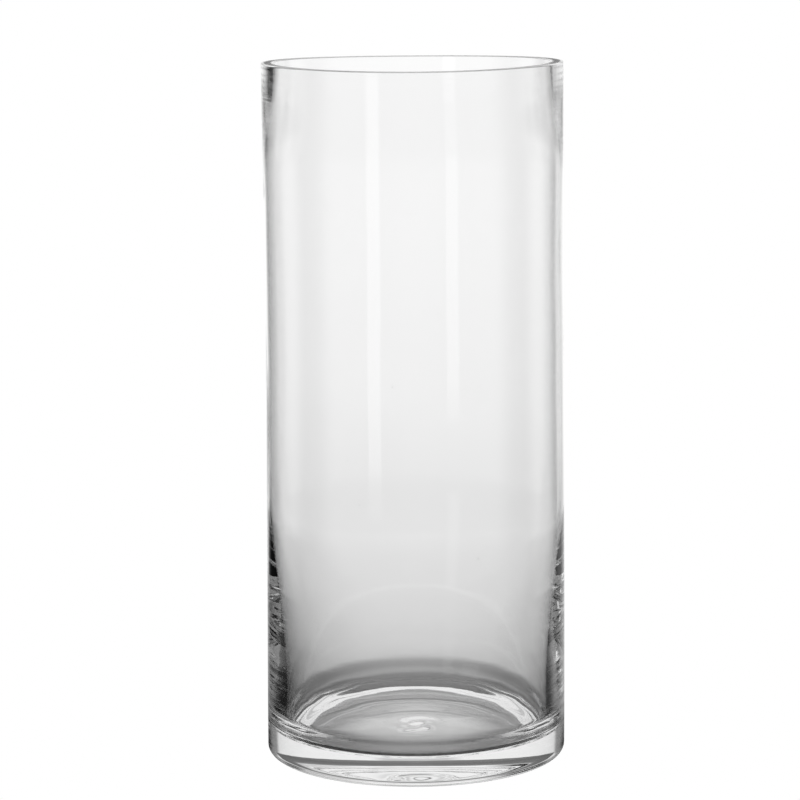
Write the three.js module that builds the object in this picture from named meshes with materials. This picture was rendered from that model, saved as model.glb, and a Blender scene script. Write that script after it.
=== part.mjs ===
// Clear glass cylinder vase, drawn from one gather of soda-lime glass.
// Millimetres, +Z up. The origin is the centre of the circle that the foot stands on.

import * as THREE from "three";

// ---- Driving dimensions ---------------------------------------------------------------

const height = 350;             // table to rim
const mouthDiameter = 150;      // outside, at the rim
const waistDiameter = 149.2;    // outside, at the slight draw-in below the rim
const waistHeight = 250;        // where the outside is narrowest
const footDiameter = 151.6;     // outside, where the wall meets the foot fillet

const rimWall = 6.3;            // wall at the thick, ground and fire-polished rim
const rimTaper = 56;            // length over which the rim wall thins to the body wall
const lipRound = 0.5;           // softened edge of the ground rim, outside and inside

const bodyWall = 1.5;           // wall through the middle of the vase
const heelWall = 8.7;           // wall at the foot of the heel
const heelTop = 130;            // where the heel has thinned to the body wall
const toeWall = 2;              // what the wall gains right above the inside corner
const toeRise = 7;              // height over which that gain fades

const baseThickness = 11.2;     // table to the flat middle of the inside floor
const stepRise = 2.4;           // rise of the floor from its flat middle to the corner
const stepWidth = 7;            // how far in from the corner that rise runs
const cornerRound = 4;          // inside radius between floor and wall
const footRound = 4;            // outside radius between foot and wall
const footRing = 9;             // width of the flat ring that touches the table
const kick = 0.8;               // rise of the hollow underside at its centre

const aroundSteps = 80;         // flats around the vase
const roundSteps = 4;           // chords in the inside corner and the foot's edge
const lipSteps = 2;             // chords in each edge of the rim
const easeSteps = 4;            // stations across the floor's step and the hollow underside
const wallSteps = 14;           // stations up the wall, inside and outside

// ---- Profile --------------------------------------------------------------------------

const easeInOut = (t) => t * t * (3 - 2 * t);
const clamp01 = (t) => Math.min(1, Math.max(0, t));

// Outside radius: drawn in gently from the foot to the waist, then out to the rim.
function outerRadius(z) {
  const [fromDiameter, toDiameter, t] = z < waistHeight
    ? [footDiameter, waistDiameter, z / waistHeight]
    : [waistDiameter, mouthDiameter, (z - waistHeight) / (height - waistHeight)];
  return THREE.MathUtils.lerp(fromDiameter, toDiameter, easeInOut(clamp01(t))) / 2;
}

// Height where the inside corner meets the wall.
const cornerTop = baseThickness + stepRise + cornerRound;

// Wall thickness: thick at the rim, thin through the body, thick again at the heel.
function wallAt(z) {
  const rim = 1 - easeInOut(clamp01((height - z) / rimTaper));
  const heel = 1 - easeInOut(clamp01((z - cornerTop) / (heelTop - cornerTop)));
  const toe = 1 - easeInOut(clamp01((z - cornerTop) / toeRise));
  return bodyWall + (rimWall - bodyWall) * rim + (heelWall - bodyWall) * heel + toeWall * toe;
}

const innerRadius = (z) => outerRadius(z) - wallAt(z);

// A quarter turn between two corners of an outline, without its first point.
function arc(centreR, centreZ, radius, startDegrees, endDegrees, steps) {
  return Array.from({ length: steps }, (_, i) => {
    const angle = THREE.MathUtils.degToRad(startDegrees + ((endDegrees - startDegrees) * (i + 1)) / steps);
    return new THREE.Vector2(centreR + radius * Math.cos(angle), centreZ + radius * Math.sin(angle));
  });
}

// Stations along a wall, ends included, as heights.
const stations = (fromZ, toZ) =>
  Array.from({ length: wallSteps + 1 }, (_, i) => THREE.MathUtils.lerp(fromZ, toZ, i / wallSteps));

// A smooth level-ended slope between two points, without the first one.
const slope = (fromR, fromZ, toR, toZ) =>
  Array.from({ length: easeSteps }, (_, i) => {
    const t = (i + 1) / easeSteps;
    const z = THREE.MathUtils.lerp(fromZ, toZ, easeInOut(t));
    return new THREE.Vector2(THREE.MathUtils.lerp(fromR, toR, t), z);
  });

// Half outline of the glass, from the underside's centre round the rim to the floor's centre.
function glassOutline() {
  const lip = Math.min(lipRound, rimWall / 3);
  const lipZ = height - lip;
  const footR = outerRadius(footRound) - footRound;
  const mouthR = innerRadius(lipZ);
  const cornerR = innerRadius(cornerTop) - cornerRound;
  const underside = [new THREE.Vector2(0, kick), ...slope(0, kick, footR - footRing, 0),
    new THREE.Vector2(footR, 0)];
  const foot = arc(footR, footRound, footRound, -90, 0, roundSteps);
  const outside = stations(footRound, lipZ).slice(1).map((z) => new THREE.Vector2(outerRadius(z), z));
  const outerLip = arc(outerRadius(lipZ) - lip, lipZ, lip, 0, 90, lipSteps);
  const innerLip = [new THREE.Vector2(mouthR + lip, height),
    ...arc(mouthR + lip, lipZ, lip, 90, 180, lipSteps)];
  const inside = stations(lipZ, cornerTop).slice(1).map((z) => new THREE.Vector2(innerRadius(z), z));
  const corner = arc(cornerR, cornerTop, cornerRound, 0, -90, roundSteps);
  const step = slope(cornerR, baseThickness + stepRise, cornerR - stepWidth, baseThickness);
  const floor = [new THREE.Vector2(0, baseThickness)];
  return [...underside, ...foot, ...outside, ...outerLip, ...innerLip, ...inside, ...corner, ...step,
    ...floor];
}

// ---- Material and model ---------------------------------------------------------------

const clearGlass = new THREE.MeshStandardMaterial({
  name: "clear_glass", color: 0xeef2f2, roughness: 0.03, metalness: 0, transparent: true, opacity: 0.35,
});

// The wall, foot and rim are one piece of glass: a lathe turned about Y, stood up along Z.
function vaseBody() {
  const geometry = new THREE.LatheGeometry(glassOutline(), aroundSteps);
  geometry.rotateX(Math.PI / 2);
  const mesh = new THREE.Mesh(geometry, clearGlass);
  mesh.name = "vase_body";
  return mesh;
}

const vase = new THREE.Group();
vase.name = "cylinder_vase";
vase.add(vaseBody());

export default vase;
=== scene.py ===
"""Clear glass cylinder vase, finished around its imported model.

The vase is one piece of soda-lime glass. An Outline holds the half section of the glass, Geometry
Nodes turn it into the round body with the small faults of drawn glass, and a graded studio with dark
flags at its sides shows the clear walls by their edges.
"""

import logging
import math
from dataclasses import dataclass
from enum import Enum

import bpy
from mathutils import Matrix, Vector


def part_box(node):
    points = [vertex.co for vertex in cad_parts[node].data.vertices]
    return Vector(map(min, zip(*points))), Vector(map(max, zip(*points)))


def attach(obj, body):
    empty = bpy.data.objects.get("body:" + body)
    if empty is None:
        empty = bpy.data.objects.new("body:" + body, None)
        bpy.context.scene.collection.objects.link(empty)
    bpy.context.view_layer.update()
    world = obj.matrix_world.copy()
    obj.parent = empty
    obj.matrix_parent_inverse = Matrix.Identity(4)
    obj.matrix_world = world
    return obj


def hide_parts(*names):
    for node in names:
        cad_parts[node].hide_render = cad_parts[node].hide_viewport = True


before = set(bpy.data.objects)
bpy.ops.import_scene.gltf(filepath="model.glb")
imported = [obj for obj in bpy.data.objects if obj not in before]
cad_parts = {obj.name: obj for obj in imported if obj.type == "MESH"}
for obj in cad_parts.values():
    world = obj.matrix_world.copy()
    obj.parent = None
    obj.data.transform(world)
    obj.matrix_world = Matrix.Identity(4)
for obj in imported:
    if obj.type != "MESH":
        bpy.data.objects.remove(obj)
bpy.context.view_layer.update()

LOG = logging.getLogger("vase")
MM = 0.001
BODY = "root"
NODE = "vase_body"

# Places and sizes in metres that the turned glass keeps to.
MARKS_START = 0.05          # radius inside which the floor has none of the wall's marks
MARKS_FULL = 0.06           # radius from which the wall has them in full
SWIRL_STILL = 0.002         # radius at the middle of the floor where the swirl dies away
SEEDS_ABOVE = 0.02          # height above which the wall holds seeds
WELD = 1e-7                 # distance at which two points are one

# Shares of a seed's size, across and along.
SMALLEST_SEED = (0.25, 0.25, 0.35)
LARGEST_SEED = (0.55, 0.55, 1.3)

SAME_SKIN = 0.1             # how near a skin's number has to be to count as that skin


# ---- Shared helpers -------------------------------------------------------------------


def linear(hex_colour: str) -> tuple[float, float, float, float]:
    """Turn an sRGB hex colour into linear RGBA.

    Args:
        hex_colour: Six hex digits, such as "F4F6F5".

    Returns:
        Linear red, green and blue, and an alpha of 1.
    """
    parts = [int(hex_colour[i:i + 2], 16) / 255 for i in (0, 2, 4)]
    red, green, blue = [c / 12.92 if c <= 0.04045 else ((c + 0.055) / 1.055) ** 2.4 for c in parts]
    return (red, green, blue, 1.0)


def ease(t: float) -> float:
    """Return t from 0 to 1, clamped, with a level start and end."""
    t = min(1.0, max(0.0, t))
    return t * t * (3 - 2 * t)


def add_node(tree: bpy.types.NodeTree, kind: str, *inputs: object, **settings: object) -> bpy.types.Node:
    """Add a node to a tree, with its settings and its links.

    Args:
        tree: The shader, world or geometry tree that the node goes in.
        kind: The node's type name.
        *inputs: A value, a socket or a node (its first output in use) for each input in order.
            None leaves an input as it is.
        **settings: The node's own properties. A name that starts with "at_" sets the input of
            that number instead, such as at_7.

    Returns:
        The new node.
    """
    node = tree.nodes.new(kind)
    numbered = dict(enumerate(inputs))
    for name, value in settings.items():
        if name.startswith("at_"):
            numbered[int(name[3:])] = value
        else:
            setattr(node, name, value)
    for number, value in numbered.items():
        if value is None:
            continue
        socket = [s for s in node.inputs if s.enabled][number]
        if isinstance(value, bpy.types.Node):
            value = next(s for s in value.outputs if s.enabled)
        if isinstance(value, bpy.types.NodeSocket):
            tree.links.new(value, socket)
        else:
            socket.default_value = value
    return node


# ---- The glass ------------------------------------------------------------------------


class Skin(Enum):
    """Which face of the glass a point of the outline lies on."""

    OUTSIDE = 0.0
    INSIDE = 1.0
    RIM = 2.0


@dataclass(frozen=True)
class OutlinePoint:
    """One point of the half section, in metres."""

    r: float
    z: float
    skin: Skin


@dataclass(frozen=True)
class Outline:
    """The half section of the glass, from the underside's centre round the rim to the floor.

    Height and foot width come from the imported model. The other sizes, in millimetres, are the
    ones that the model was drawn with.
    """

    height: float
    foot_diameter: float
    mouth_diameter: float = 150.0
    waist_diameter: float = 149.2
    waist_height: float = 250.0
    rim_wall: float = 6.3
    rim_taper: float = 56.0
    lip_round: float = 0.5
    body_wall: float = 1.5
    heel_wall: float = 8.7
    heel_top: float = 130.0
    toe_wall: float = 2.0
    toe_rise: float = 7.0
    base_thickness: float = 11.2
    step_rise: float = 2.4
    step_width: float = 7.0
    corner_round: float = 4.0
    foot_round: float = 4.0
    foot_ring: float = 9.0
    kick: float = 0.8

    @property
    def corner_top(self) -> float:
        """The height where the inside corner meets the wall."""
        return self.base_thickness + self.step_rise + self.corner_round

    def outer_radius(self, z: float) -> float:
        """Return the outside radius at a height."""
        if z < self.waist_height:
            low, high, t = self.foot_diameter, self.waist_diameter, z / self.waist_height
        else:
            low, high = self.waist_diameter, self.mouth_diameter
            t = (z - self.waist_height) / (self.height - self.waist_height)
        return (low + (high - low) * ease(t)) / 2

    def wall(self, z: float) -> float:
        """Return the wall's thickness at a height: thick rim, thin body, thick heel."""
        rim = 1 - ease((self.height - z) / self.rim_taper)
        heel = 1 - ease((z - self.corner_top) / (self.heel_top - self.corner_top))
        toe = 1 - ease((z - self.corner_top) / self.toe_rise)
        return (self.body_wall + (self.rim_wall - self.body_wall) * rim
                + (self.heel_wall - self.body_wall) * heel + self.toe_wall * toe)

    def inner_radius(self, z: float) -> float:
        """Return the inside radius at a height."""
        return self.outer_radius(z) - self.wall(z)

    def stations(self, low: float, high: float) -> list[float]:
        """Return the heights up a wall, close together where the glass ripples.

        Args:
            low: The lowest height.
            high: The highest height.

        Returns:
            Heights from low to high, both included.
        """
        rim_from, rim_step = self.height - 18.0, 0.5
        body_from, body_step = 128.0, 6.0
        heel_step = 1.3
        heights = [low]
        while heights[-1] < high:
            z = heights[-1]
            heights.append(z + (rim_step if z >= rim_from else body_step if z >= body_from else heel_step))
        heights[-1] = high
        return heights

    def points(self) -> list[OutlinePoint]:
        """Return the whole outline, in metres."""
        corner_r = self.inner_radius(self.corner_top) - self.corner_round
        foot_r = self.outer_radius(self.foot_round) - self.foot_round
        ring_r = foot_r - self.foot_ring
        floor_r = corner_r - self.step_width
        lip_z = self.height - self.lip_round
        outer_lip = self.outer_radius(lip_z) - self.lip_round
        inner_lip = self.inner_radius(lip_z) + self.lip_round

        kick_steps, ring_steps, rim_steps = 16, 4, 4
        step_steps, floor_steps = 16, 40
        edge_steps, lip_steps = 8, 6

        outside = [(ring_r * i / kick_steps, self.kick * (1 - ease(i / kick_steps)))
                   for i in range(kick_steps + 1)]
        outside += [(ring_r + self.foot_ring * i / ring_steps, 0.0) for i in range(1, ring_steps + 1)]
        outside += turn(foot_r, self.foot_round, self.foot_round, self.foot_round, -90, 0, edge_steps)
        outside += [(self.outer_radius(z), z) for z in self.stations(self.foot_round, lip_z)[1:]]
        outside += turn(outer_lip, lip_z, self.lip_round, self.lip_round, 0, 90, lip_steps)

        rim = [(outer_lip + (inner_lip - outer_lip) * i / rim_steps, self.height)
               for i in range(1, rim_steps)]

        inside = [(inner_lip, self.height)]
        inside += turn(inner_lip, lip_z, self.lip_round, self.lip_round, 90, 180, lip_steps)
        inside += [(self.inner_radius(z), z) for z in self.stations(self.corner_top, lip_z)[-2::-1]]
        inside += turn(corner_r, self.corner_top, self.corner_round, self.corner_round, 0, -90, edge_steps)
        inside += [(corner_r - self.step_width * i / step_steps,
                    self.base_thickness + self.step_rise * (1 - ease(i / step_steps)))
                   for i in range(1, step_steps + 1)]
        inside += [(floor_r * (1 - i / floor_steps), self.base_thickness)
                   for i in range(1, floor_steps + 1)]
        return ([OutlinePoint(r * MM, z * MM, Skin.OUTSIDE) for r, z in outside]
                + [OutlinePoint(r * MM, z * MM, Skin.RIM) for r, z in rim]
                + [OutlinePoint(r * MM, z * MM, Skin.INSIDE) for r, z in inside])


def turn(r: float, z: float, across: float, up: float, start: float, end: float,
         steps: int) -> list[tuple[float, float]]:
    """Return points round a quarter of an ellipse, without the first one.

    Args:
        r: The centre, out from the axis.
        z: The centre, up.
        across: The reach outwards from the centre.
        up: The reach upwards.
        start: The first angle, in degrees from outwards towards up.
        end: The last angle.
        steps: How many points to return.

    Returns:
        Pairs of r and z, in the units given.
    """
    angles = [math.radians(start + (end - start) * (i + 1) / steps) for i in range(steps)]
    return [(r + across * math.cos(a), z + up * math.sin(a)) for a in angles]


@dataclass(frozen=True)
class ClearGlass:
    """Clear soda-lime glass, hand-drawn and fire-polished, with a ground rim.

    It gives a colourless, sharp, see-through surface that reads by refraction at its edges and by
    thin reflections. Faint level rings are left by the drawing, and the ground rim is satin.
    """

    name: str = "soda_lime_glass"
    tint: str = "FEFEFE"
    ior: float = 1.52
    polished_roughness: float = 0.0
    ground_roughness: float = 0.35
    ring_spacing_mm: float = 2.6
    ring_length_mm: float = 55.0
    ring_depth_mm: float = 0.004
    smear_mm: float = 9.0
    smear_depth_mm: float = 0.004

    def material(self) -> bpy.types.Material:
        """Build the glass material."""
        material = bpy.data.materials.new(self.name)
        material.use_nodes = True
        tree = material.node_tree
        shader = tree.nodes["Principled BSDF"]
        shader.inputs["Base Color"].default_value = linear(self.tint)
        shader.inputs["IOR"].default_value = self.ior
        shader.inputs["Transmission Weight"].default_value = 1.0

        skin = add_node(tree, "ShaderNodeAttribute", attribute_name="skin")
        roughness = add_node(tree, "ShaderNodeMapRange", skin.outputs["Fac"], Skin.INSIDE.value,
                             Skin.RIM.value, self.polished_roughness, self.ground_roughness)
        tree.links.new(roughness.outputs["Result"], shader.inputs["Roughness"])

        place = add_node(tree, "ShaderNodeTexCoord").outputs["Object"]
        along, up = 1 / (self.ring_length_mm * MM), 1 / (self.ring_spacing_mm * MM)
        stretched = add_node(tree, "ShaderNodeMapping", place, at_3=(along, along, up))
        rings = add_node(tree, "ShaderNodeTexNoise", stretched, 1.0, 2.0, 0.5)
        rings = add_node(tree, "ShaderNodeBump", 1.0, self.ring_depth_mm * MM, at_3=rings.outputs["Fac"])
        smears = add_node(tree, "ShaderNodeTexNoise", place, 1 / (self.smear_mm * MM), 1.0, 0.5)
        surface = add_node(tree, "ShaderNodeBump", 1.0, self.smear_depth_mm * MM, at_3=smears.outputs["Fac"])
        tree.links.new(rings.outputs["Normal"], surface.inputs["Normal"])
        tree.links.new(surface.outputs["Normal"], shader.inputs["Normal"])
        return material


@dataclass(frozen=True)
class DrawMarks:
    """What drawing the glass by hand leaves in its shape. Lengths are in millimetres."""

    bow: float = 0.5
    rim_waver: float = 0.5
    rim_waver_reach: float = 14.0
    wall_swell: float = 0.15
    wall_swell_size: float = 60.0
    rim_ripple: float = 0.04
    rim_ripple_pitch: float = 3.0
    rim_ripple_reach: float = 16.0
    heel_twist: float = 0.012
    heel_twist_pitch: float = 9.5
    heel_twist_reach: float = 105.0
    floor_swirl: float = 0.5
    floor_swirl_size: float = 17.0
    seed_density: float = 150.0
    seed_size: float = 0.42
    seed_depth: float = 0.75

    def inputs(self) -> dict[str, float]:
        """Return the tree's inputs by name, in metres, and the density per square metre."""
        values = {name.replace("_", " ").title(): getattr(self, name) * MM
                  for name in self.__dataclass_fields__}
        values["Seed Density"] = self.seed_density
        return values


@dataclass
class GlassBody:
    """The vase's one piece of glass, turned from its outline."""

    outline: Outline
    marks: DrawMarks
    around: int = 224
    seed: int = 7

    def outline_mesh(self) -> bpy.types.Mesh:
        """Return the outline as a line of points, with the skin that each lies on."""
        points = self.outline.points()
        mesh = bpy.data.meshes.new("glass_outline")
        mesh.from_pydata([(p.r, 0.0, p.z) for p in points], [(i, i + 1) for i in range(len(points) - 1)], [])
        skin = mesh.attributes.new("skin", "FLOAT", "POINT")
        skin.data.foreach_set("value", [p.skin.value for p in points])
        return mesh

    def lathe_tree(self) -> bpy.types.NodeTree:
        """Build the tree that turns an outline about Z and gives it the marks of drawing."""
        tree = bpy.data.node_groups.new("turned_glass", "GeometryNodeTree")
        face = tree.interface
        face.new_socket("Geometry", in_out="INPUT", socket_type="NodeSocketGeometry")
        face.new_socket("Around", in_out="INPUT", socket_type="NodeSocketInt")
        face.new_socket("Seed", in_out="INPUT", socket_type="NodeSocketInt")
        face.new_socket("Height", in_out="INPUT", socket_type="NodeSocketFloat")
        for name in self.marks.inputs():
            face.new_socket(name, in_out="INPUT", socket_type="NodeSocketFloat")
        face.new_socket("Glass", in_out="INPUT", socket_type="NodeSocketMaterial")
        face.new_socket("Geometry", in_out="OUTPUT", socket_type="NodeSocketGeometry")
        given = add_node(tree, "NodeGroupInput").outputs

        count = add_node(tree, "GeometryNodeAttributeDomainSize", given["Geometry"], component="MESH")
        columns = add_node(tree, "ShaderNodeMath", given["Around"], 1.0, operation="ADD")
        grid = add_node(tree, "GeometryNodeMeshGrid", 1.0, 1.0, count, columns)
        index = add_node(tree, "GeometryNodeInputIndex")
        row = add_node(tree, "ShaderNodeMath", index, columns, operation="DIVIDE")
        row = add_node(tree, "ShaderNodeMath", row, operation="FLOOR")
        column = add_node(tree, "ShaderNodeMath", index, columns, operation="MODULO")
        angle = add_node(tree, "ShaderNodeMath", column, given["Around"], operation="DIVIDE")
        angle = add_node(tree, "ShaderNodeMath", angle, math.tau, operation="MULTIPLY")

        place = add_node(tree, "GeometryNodeInputPosition")
        sampled = add_node(tree, "GeometryNodeSampleIndex", given["Geometry"], place, row,
                           data_type="FLOAT_VECTOR")
        skin = add_node(tree, "GeometryNodeInputNamedAttribute", "skin", data_type="FLOAT")
        skin = add_node(tree, "GeometryNodeSampleIndex", given["Geometry"], skin, row, data_type="FLOAT")
        marked = add_node(tree, "GeometryNodeStoreNamedAttribute", grid, None, "skin", skin,
                          data_type="FLOAT", domain="POINT")
        parts = add_node(tree, "ShaderNodeSeparateXYZ", sampled)
        turned = self.marked_place(tree, given, parts.outputs["X"], parts.outputs["Z"], angle, skin)
        moved = add_node(tree, "GeometryNodeSetPosition", marked, None, turned)
        closed = add_node(tree, "GeometryNodeMergeByDistance", moved, None, WELD)
        outward = add_node(tree, "GeometryNodeFlipFaces", closed)
        glass = add_node(tree, "GeometryNodeJoinGeometry", outward)
        tree.links.new(self.seeds(tree, given, outward).outputs[0], glass.inputs[0])
        smooth = add_node(tree, "GeometryNodeSetShadeSmooth", glass)
        real = add_node(tree, "GeometryNodeRealizeInstances", smooth)
        dressed = add_node(tree, "GeometryNodeSetMaterial", real, None, given["Glass"])
        add_node(tree, "NodeGroupOutput", dressed)
        return tree

    def wave(self, tree: bpy.types.NodeTree, value: object, pitch: object, size: object,
             turns: object = 0.0) -> bpy.types.Node:
        """Add a sine wave.

        Args:
            tree: The tree to add to.
            value: What the wave runs along.
            pitch: The length of one wave.
            size: How far it swings to each side.
            turns: An angle to add, in radians.

        Returns:
            The node that gives the wave.
        """
        phase = add_node(tree, "ShaderNodeMath", value, pitch, operation="DIVIDE")
        phase = add_node(tree, "ShaderNodeMath", phase, math.tau, turns, operation="MULTIPLY_ADD")
        swing = add_node(tree, "ShaderNodeMath", phase, operation="SINE")
        return add_node(tree, "ShaderNodeMath", swing, size, operation="MULTIPLY")

    def marked_place(self, tree: bpy.types.NodeTree, given: object, radius: object, height: object,
                     angle: object, skin: object) -> bpy.types.Node:
        """Add the place of each point of the turned glass, with the marks of drawing.

        Args:
            tree: The tree to add to.
            given: The tree's inputs.
            radius: The point's distance from the axis.
            height: Its height.
            angle: Its angle round the axis.
            skin: Which skin it lies on.

        Returns:
            The node that gives the place.
        """
        cosine = add_node(tree, "ShaderNodeMath", angle, operation="COSINE")
        sine = add_node(tree, "ShaderNodeMath", angle, operation="SINE")
        inside = add_node(tree, "ShaderNodeMath", skin, Skin.INSIDE.value, SAME_SKIN, operation="COMPARE")
        outside = add_node(tree, "ShaderNodeMath", skin, Skin.OUTSIDE.value, SAME_SKIN, operation="COMPARE")
        below_rim = add_node(tree, "ShaderNodeMath", given["Height"], height, operation="SUBTRACT")

        ripple = self.wave(tree, height, given["Rim Ripple Pitch"], given["Rim Ripple"])
        near_rim = add_node(tree, "ShaderNodeMapRange", below_rim, 0.0, given["Rim Ripple Reach"], 1.0, 0.0,
                            interpolation_type="SMOOTHSTEP")
        ripple = add_node(tree, "ShaderNodeMath", ripple, near_rim, operation="MULTIPLY")
        ripple = add_node(tree, "ShaderNodeMath", ripple, outside, operation="MULTIPLY")

        twist = self.wave(tree, height, given["Heel Twist Pitch"], given["Heel Twist"], angle)
        near_heel = add_node(tree, "ShaderNodeMapRange", height, 0.0, given["Heel Twist Reach"], 1.0, 0.0,
                             interpolation_type="SMOOTHSTEP")
        twist = add_node(tree, "ShaderNodeMath", twist, near_heel, operation="MULTIPLY")

        straight = add_node(tree, "ShaderNodeCombineXYZ",
                            add_node(tree, "ShaderNodeMath", radius, cosine, operation="MULTIPLY"),
                            add_node(tree, "ShaderNodeMath", radius, sine, operation="MULTIPLY"), height)
        scale = add_node(tree, "ShaderNodeMath", 1.0, given["Wall Swell Size"], operation="DIVIDE")
        swell = add_node(tree, "ShaderNodeTexNoise", straight, given["Seed"], scale, 1.0,
                         noise_dimensions="4D", normalize=False)
        swell = add_node(tree, "ShaderNodeMath", swell.outputs["Fac"], given["Wall Swell"], twist,
                         operation="MULTIPLY_ADD")
        wall_share = add_node(tree, "ShaderNodeMapRange", radius, MARKS_START, MARKS_FULL, 0.0, 1.0)
        swell = add_node(tree, "ShaderNodeMath", swell, wall_share, operation="MULTIPLY")
        out = add_node(tree, "ShaderNodeMath", swell, inside, ripple, operation="MULTIPLY_ADD")
        out = add_node(tree, "ShaderNodeMath", out, radius, operation="ADD")

        along = add_node(tree, "ShaderNodeMath", height, given["Height"], operation="DIVIDE")
        along = add_node(tree, "ShaderNodeMath", along, 0.5, operation="MULTIPLY")
        bow = self.wave(tree, along, 1.0, given["Bow"])
        waver = add_node(tree, "ShaderNodeMath", angle, 2.0, operation="MULTIPLY")
        waver = add_node(tree, "ShaderNodeMath", waver, operation="COSINE")
        waver = add_node(tree, "ShaderNodeMath", waver, given["Rim Waver"], operation="MULTIPLY")
        at_rim = add_node(tree, "ShaderNodeMapRange", below_rim, 0.0, given["Rim Waver Reach"], 1.0, 0.0,
                          interpolation_type="SMOOTHSTEP")
        waver = add_node(tree, "ShaderNodeMath", waver, at_rim, height, operation="MULTIPLY_ADD")

        near_middle = add_node(tree, "ShaderNodeMapRange", radius, 0.0, given["Floor Swirl Size"], 1.0, 0.0,
                               interpolation_type="SMOOTHSTEP")
        swirl = self.wave(tree, radius, given["Floor Swirl Size"], given["Floor Swirl"], angle)
        swirl = add_node(tree, "ShaderNodeMath", swirl, near_middle, operation="MULTIPLY")
        off_middle = add_node(tree, "ShaderNodeMapRange", radius, 0.0, SWIRL_STILL, 0.0, 1.0)
        swirl = add_node(tree, "ShaderNodeMath", swirl, off_middle, operation="MULTIPLY")
        z = add_node(tree, "ShaderNodeMath", swirl, inside, waver, operation="MULTIPLY_ADD")
        x = add_node(tree, "ShaderNodeMath", out, cosine, bow, operation="MULTIPLY_ADD")
        y = add_node(tree, "ShaderNodeMath", out, sine, operation="MULTIPLY")
        return add_node(tree, "ShaderNodeCombineXYZ", x, y, z)

    def seeds(self, tree: bpy.types.NodeTree, given: object, glass: object) -> bpy.types.Node:
        """Add seeds, the tiny long bubbles inside the wall, at scattered places.

        Args:
            tree: The tree to add to.
            given: The tree's inputs.
            glass: The node that gives the turned glass.

        Returns:
            The node that gives the seeds.
        """
        skin = add_node(tree, "GeometryNodeInputNamedAttribute", "skin", data_type="FLOAT")
        outer = add_node(tree, "FunctionNodeCompare", skin, SAME_SKIN, data_type="FLOAT",
                         operation="LESS_THAN")
        place = add_node(tree, "GeometryNodeInputPosition")
        height = add_node(tree, "ShaderNodeSeparateXYZ", place).outputs["Z"]
        raised = add_node(tree, "FunctionNodeCompare", height, SEEDS_ABOVE, data_type="FLOAT",
                          operation="GREATER_THAN")
        wall = add_node(tree, "FunctionNodeBooleanMath", outer, raised, operation="AND")
        points = add_node(tree, "GeometryNodeDistributePointsOnFaces", glass, wall, given["Seed Density"],
                          given["Seed"])
        deep = add_node(tree, "ShaderNodeMath", given["Seed Depth"], -1.0, operation="MULTIPLY")
        inward = add_node(tree, "ShaderNodeVectorMath", points.outputs["Normal"], operation="SCALE",
                          at_1=deep)
        sunk = add_node(tree, "GeometryNodeSetPosition", points, None, None, inward)
        bubble = add_node(tree, "GeometryNodeMeshIcoSphere", given["Seed Size"], 2)
        bubble = add_node(tree, "GeometryNodeFlipFaces", bubble)
        size = add_node(tree, "FunctionNodeRandomValue", SMALLEST_SEED, LARGEST_SEED,
                        data_type="FLOAT_VECTOR")
        seeds = add_node(tree, "GeometryNodeInstanceOnPoints", sunk, None, bubble, at_6=size)
        return add_node(tree, "GeometryNodeRealizeInstances", seeds)

    def build(self, glass: bpy.types.Material) -> bpy.types.Object:
        """Turn the outline into the glass body.

        Args:
            glass: The material it is made of.

        Returns:
            The body as a plain mesh object at the origin.
        """
        line = bpy.data.objects.new("outline", self.outline_mesh())
        bpy.context.scene.collection.objects.link(line)
        modifier = line.modifiers.new("turned_glass", "NODES")
        modifier.node_group = self.lathe_tree()
        values = {"Around": self.around, "Seed": self.seed, "Height": self.outline.height * MM,
                  "Glass": glass, **self.marks.inputs()}
        for socket in modifier.node_group.interface.items_tree:
            if socket.in_out == "INPUT" and socket.name in values:
                modifier[socket.identifier] = values[socket.name]
        evaluated = line.evaluated_get(bpy.context.evaluated_depsgraph_get())
        mesh = bpy.data.meshes.new_from_object(evaluated)
        bpy.data.objects.remove(line)
        mesh.name = "vase_glass"
        body = bpy.data.objects.new("vase_glass", mesh)
        bpy.context.scene.collection.objects.link(body)
        return body


# ---- The studio -----------------------------------------------------------------------


@dataclass(frozen=True)
class Panel:
    """A soft-edged patch of the studio's surround, bright or black.

    Bearings are in degrees, clockwise from straight behind the vase as the camera sees it, so
    that 90 is to its right. Heights are in degrees above the table.
    """

    bearing: float
    half_width: float
    low: float
    high: float
    soft: float
    radiance: float


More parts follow.
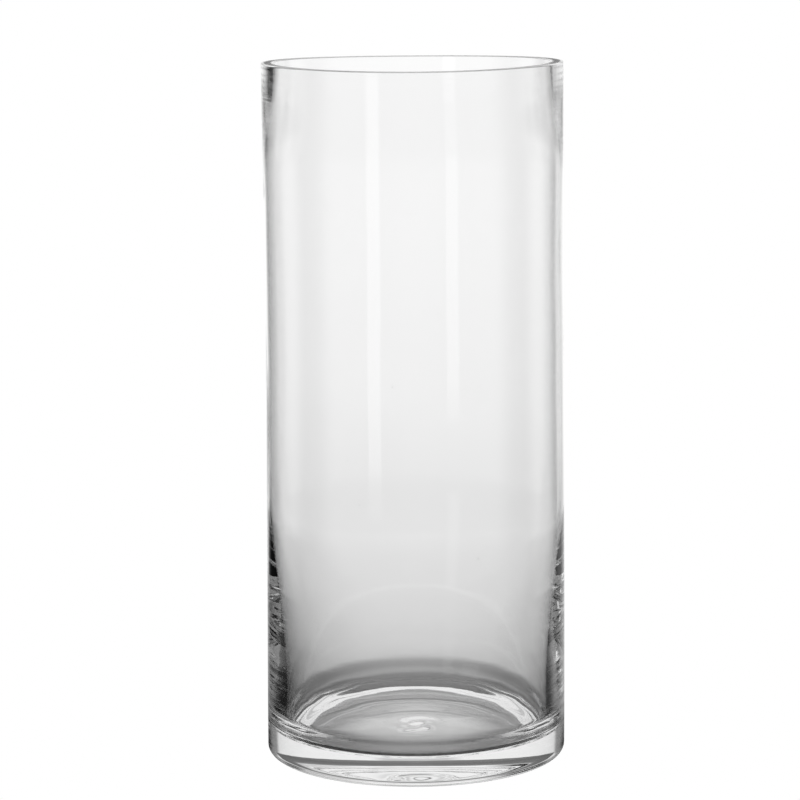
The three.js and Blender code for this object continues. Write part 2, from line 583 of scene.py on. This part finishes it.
@dataclass(frozen=True)
class Studio:
    """The room that the glass sees; the camera sees plain white.

    It holds a white sweep behind the vase with dark flags at its sides, a dim wall behind the camera,
    one tall softbox, a high ceiling and a glowing table whose glow has painted shadow round the vase's
    foot, at its sides and in front. Its stops were fitted for the front view only, so from other sides
    the glass looks darker than it would in an even room.
    """

    sweep_up: tuple[tuple[float, float], ...] = (
        (-90.0, 0.90), (-12.2, 0.87), (-10.9, 0.90), (-10.1, 0.94), (-9.0, 0.98), (-6.0, 1.03),
        (5.0, 1.03), (10.0, 0.60), (18.0, 0.60), (26.0, 0.92), (90.0, 0.92))
    sweep_round: tuple[tuple[float, float], ...] = (
        (-180.0, 0.40), (-112.0, 0.40), (-98.0, 0.02), (-82.0, 0.02), (-72.0, 0.55), (-54.0, 0.60),
        (-45.0, 0.02), (-29.0, 0.02), (-18.0, 0.95), (-12.0, 1.0), (12.0, 1.0), (20.0, 0.72),
        (36.0, 0.66), (41.0, 0.10), (46.0, 0.10), (54.0, 0.60), (72.0, 0.55), (82.0, 0.02),
        (98.0, 0.02), (112.0, 0.40), (180.0, 0.40))
    panels: tuple[Panel, ...] = (
        Panel(-36.0, 26.0, 11.0, 90.0, 6.0, 0.92),
        Panel(36.0, 26.0, 11.0, 90.0, 6.0, 0.92),
        Panel(-90.0, 94.0, -91.0, -20.0, 8.0, 0.30),
        Panel(90.0, 94.0, -91.0, -20.0, 8.0, 0.30),
        Panel(-38.0, 18.0, -17.0, -11.5, 3.0, 0.02),
        Panel(40.0, 15.0, -17.0, -11.5, 3.0, 0.30),
        Panel(-149.0, 5.0, -10.2, 40.0, 1.0, 1.0),
        Panel(-90.0, 94.0, 36.0, 90.0, 8.0, 0.92),
        Panel(90.0, 94.0, 36.0, 90.0, 8.0, 0.92),
    )
    # The table glows instead of being lit: its glow is painted light, and the stops below paint shadows into
    # it.
    table_radius: float = 0.45
    table_sides: int = 96
    table_drop: float = 0.2
    # Painted shadow: the glow by distance from the axis, dark round the vase's foot and brighter far out.
    table_painted_shadow_by_reach: tuple[tuple[float, float], ...] = (
        (0.0, 0.64), (0.027, 0.58), (0.038, 0.36), (0.046, 0.17), (0.062, 0.10), (0.070, 0.11),
        (0.078, 0.13), (0.090, 0.17), (0.100, 0.25), (0.118, 0.42), (0.136, 0.57), (0.165, 0.67),
        (0.195, 0.74), (0.25, 0.80), (0.45, 0.89))
    # Painted shadow: the glow by bearing from the apex, dark to both sides where the flags would shade the
    # table.
    table_painted_side_shadow: tuple[tuple[float, float], ...] = (
        (-180.0, 0.60), (-120.0, 0.60), (-80.0, 0.02), (-27.0, 0.02), (-23.0, 0.30), (-18.0, 0.58),
        (-12.0, 0.88), (-6.0, 1.0), (10.0, 1.0), (20.0, 0.82), (27.0, 0.60), (33.0, 0.05), (80.0, 0.05),
        (120.0, 0.60), (180.0, 0.60))
    # Painted shadow: the glow is darker in front of the vase.
    table_painted_front_shadow: tuple[tuple[float, float], ...] = ((-0.06, 0.5), (-0.012, 0.65), (0.005, 1.0))
    # The point in front of the vase from which the painted side shadows are measured, in metres.
    table_side_shadow_apex: float = 0.15

    def ramp(self, tree: bpy.types.NodeTree, value: object,
             stops: tuple[tuple[float, float], ...]) -> bpy.types.Node:
        """Add a curve of radiance against a value.

        Args:
            tree: The tree to add to.
            value: The node or socket to look up.
            stops: Pairs of value and radiance, in rising order.

        Returns:
            The node whose output is the radiance.
        """
        first, last = stops[0][0], stops[-1][0]
        spread = add_node(tree, "ShaderNodeMapRange", value, first, last, 0.0, 1.0)
        ramp = add_node(tree, "ShaderNodeValToRGB", spread)
        elements = ramp.color_ramp.elements
        while len(elements) < len(stops):
            elements.new(0.5)
        for element, (stop, _) in zip(elements, stops):
            element.position = (stop - first) / (last - first)
        for element, (_, radiance) in zip(elements, stops):
            element.color = (radiance, radiance, radiance, 1.0)
        return ramp

    def bearing(self, tree: bpy.types.NodeTree, direction: object,
                stops: tuple[tuple[float, float], ...]) -> bpy.types.Node:
        """Add a brightness that changes with the bearing round the vase.

        Args:
            tree: The tree to add to.
            direction: The direction to look up.
            stops: Pairs of bearing and brightness, in rising order.

        Returns:
            A node that gives the brightness.
        """
        parts = add_node(tree, "ShaderNodeSeparateXYZ", direction)
        angle = add_node(tree, "ShaderNodeMath", parts.outputs["X"], parts.outputs["Y"], operation="ARCTAN2")
        angle = add_node(tree, "ShaderNodeMath", angle, operation="DEGREES")
        return self.ramp(tree, angle, stops)

    def share(self, tree: bpy.types.NodeTree, flat: object, rise: object, panel: Panel) -> bpy.types.Node:
        """Add the share of a panel in each direction.

        Args:
            tree: The tree to add to.
            flat: The direction, laid level.
            rise: The direction's height in degrees.
            panel: The panel.

        Returns:
            A node that gives 1 inside the panel and 0 outside it.
        """
        bearing = math.radians(panel.bearing)
        facing = (math.sin(bearing), math.cos(bearing), 0.0)
        half = panel.soft / 2
        along = add_node(tree, "ShaderNodeVectorMath", flat, facing, operation="DOT_PRODUCT")
        outer = math.cos(math.radians(panel.half_width + half))
        inner = math.cos(math.radians(max(0.0, panel.half_width - half)))
        across = add_node(tree, "ShaderNodeMapRange", along.outputs["Value"], outer, inner, 0.0, 1.0,
                          interpolation_type="SMOOTHSTEP")
        above = add_node(tree, "ShaderNodeMapRange", rise, panel.low - half, panel.low + half, 0.0, 1.0,
                         interpolation_type="SMOOTHSTEP")
        below = add_node(tree, "ShaderNodeMapRange", rise, panel.high - half, panel.high + half, 1.0, 0.0,
                         interpolation_type="SMOOTHSTEP")
        share = add_node(tree, "ShaderNodeMath", across, above, operation="MULTIPLY")
        return add_node(tree, "ShaderNodeMath", share, below, operation="MULTIPLY")

    def build_world(self) -> None:
        """Make the surround that the glass refracts and reflects; the camera sees plain white."""
        world = bpy.data.worlds.new("studio_surround")
        bpy.context.scene.world = world
        world.use_nodes = True
        tree = world.node_tree
        tree.nodes.clear()
        coordinates = add_node(tree, "ShaderNodeTexCoord")
        direction = add_node(tree, "ShaderNodeVectorMath", coordinates.outputs["Generated"],
                             operation="NORMALIZE")
        parts = add_node(tree, "ShaderNodeSeparateXYZ", direction)
        rise = add_node(tree, "ShaderNodeMath", parts.outputs["Z"], operation="ARCSINE")
        rise = add_node(tree, "ShaderNodeMath", rise, operation="DEGREES")
        flat = add_node(tree, "ShaderNodeCombineXYZ", parts.outputs["X"], parts.outputs["Y"], 0.0)
        flat = add_node(tree, "ShaderNodeVectorMath", flat, operation="NORMALIZE")

        level = add_node(tree, "ShaderNodeMath", self.ramp(tree, rise, self.sweep_up),
                         self.bearing(tree, direction, self.sweep_round), operation="MULTIPLY")
        for panel in self.panels:
            colour = (panel.radiance, panel.radiance, panel.radiance, 1.0)
            level = add_node(tree, "ShaderNodeMix", self.share(tree, flat, rise, panel), level, colour,
                             data_type="RGBA").outputs[2]
        self.finish_light(tree, level, "ShaderNodeBackground", "ShaderNodeOutputWorld")

    def finish_light(self, tree: bpy.types.NodeTree, level: object, shader: str, output: str) -> None:
        """Send a radiance to the glass and plain white to the camera.

        Args:
            tree: The tree to finish.
            level: The radiance that the glass sees.
            shader: The type of the light-giving shader.
            output: The type of the tree's output node.
        """
        path = add_node(tree, "ShaderNodeLightPath")
        seen = add_node(tree, "ShaderNodeMix", path.outputs["Is Camera Ray"], level, (1.0, 1.0, 1.0, 1.0),
                        data_type="RGBA").outputs[2]
        light = add_node(tree, shader, seen, 1.0)
        add_node(tree, output, light)

    def build_table(self) -> bpy.types.Object:
        """Make the table top under the vase: a glowing sheet whose glow paints shadow round the vase's foot,
        at its sides and in front, as the glass sees it.
        """
        bpy.ops.mesh.primitive_circle_add(vertices=self.table_sides, radius=self.table_radius,
                                          fill_type="NGON", location=(0.0, 0.0, -self.table_drop * MM))
        table = bpy.context.object
        table.name = "studio_table"
        material = bpy.data.materials.new("table_glow_with_painted_shadow")
        material.use_nodes = True
        tree = material.node_tree
        tree.nodes.clear()
        coordinates = add_node(tree, "ShaderNodeTexCoord")
        reach = add_node(tree, "ShaderNodeVectorMath", coordinates.outputs["Object"], operation="LENGTH")
        apex = add_node(tree, "ShaderNodeVectorMath", coordinates.outputs["Object"],
                        (0.0, self.table_side_shadow_apex, 0.0), operation="ADD")
        # Painted shadow: the glow falls off round the vase's foot, at the sides and in front; the camera
        # still sees plain white.
        level = add_node(tree, "ShaderNodeMath", self.ramp(tree, reach.outputs["Value"], self.table_painted_shadow_by_reach),
                         self.bearing(tree, apex, self.table_painted_side_shadow), operation="MULTIPLY")
        place = add_node(tree, "ShaderNodeSeparateXYZ", coordinates.outputs["Object"])
        level = add_node(tree, "ShaderNodeMath", level, self.ramp(tree, place.outputs["Y"], self.table_painted_front_shadow),
                         operation="MULTIPLY")
        self.finish_light(tree, level, "ShaderNodeEmission", "ShaderNodeOutputMaterial")
        table.data.materials.append(material)
        return table


@dataclass(frozen=True)
class View:
    """The camera: a long lens a little above the rim, turned slightly down."""

    distance: float = 1.579
    aside: float = -0.001
    height: float = 0.4383
    lens: float = 142.84
    pitch: float = 9.27
    yaw: float = 0.2206
    roll: float = -0.403

    def build(self) -> None:
        """Make the camera and look through it."""
        camera = bpy.data.cameras.new("studio_camera")
        camera.sensor_width = 36.0
        camera.lens = self.lens
        eye = bpy.data.objects.new("studio_camera", camera)
        turn_down = Matrix.Rotation(math.radians(90 - self.pitch), 4, "X")
        turn_left = Matrix.Rotation(math.radians(self.yaw), 4, "Z")
        lean = Matrix.Rotation(math.radians(self.roll), 4, "Z")
        stand = Matrix.Translation(Vector((self.aside, -self.distance, self.height)))
        eye.matrix_world = stand @ turn_left @ turn_down @ lean
        bpy.context.scene.collection.objects.link(eye)
        bpy.context.scene.camera = eye


def set_up_light_paths() -> None:
    """Let light pass through every wall of the glass, and show radiance as it is."""
    scene = bpy.context.scene
    scene.view_settings.view_transform = "Standard"
    scene.cycles.max_bounces = 48
    scene.cycles.transmission_bounces = 40
    scene.cycles.glossy_bounces = 24
    scene.cycles.blur_glossy = 0.0


def main() -> None:
    """Build the vase and its studio, and tell the frame which piece stands for which."""
    logging.basicConfig(level=logging.INFO, format="%(message)s")
    low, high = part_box(NODE)
    outline = Outline(height=(high.z - low.z) / MM, foot_diameter=(high.x - low.x) / MM)
    body = GlassBody(outline, DrawMarks()).build(ClearGlass().material())
    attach(body, BODY)
    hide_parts(NODE)
    LOG.info("%s: %d faces", body.name, len(body.data.polygons))

    studio = Studio()
    studio.build_world()
    studio.build_table()
    View().build()
    set_up_light_paths()


if __name__ == "__main__":
    main()
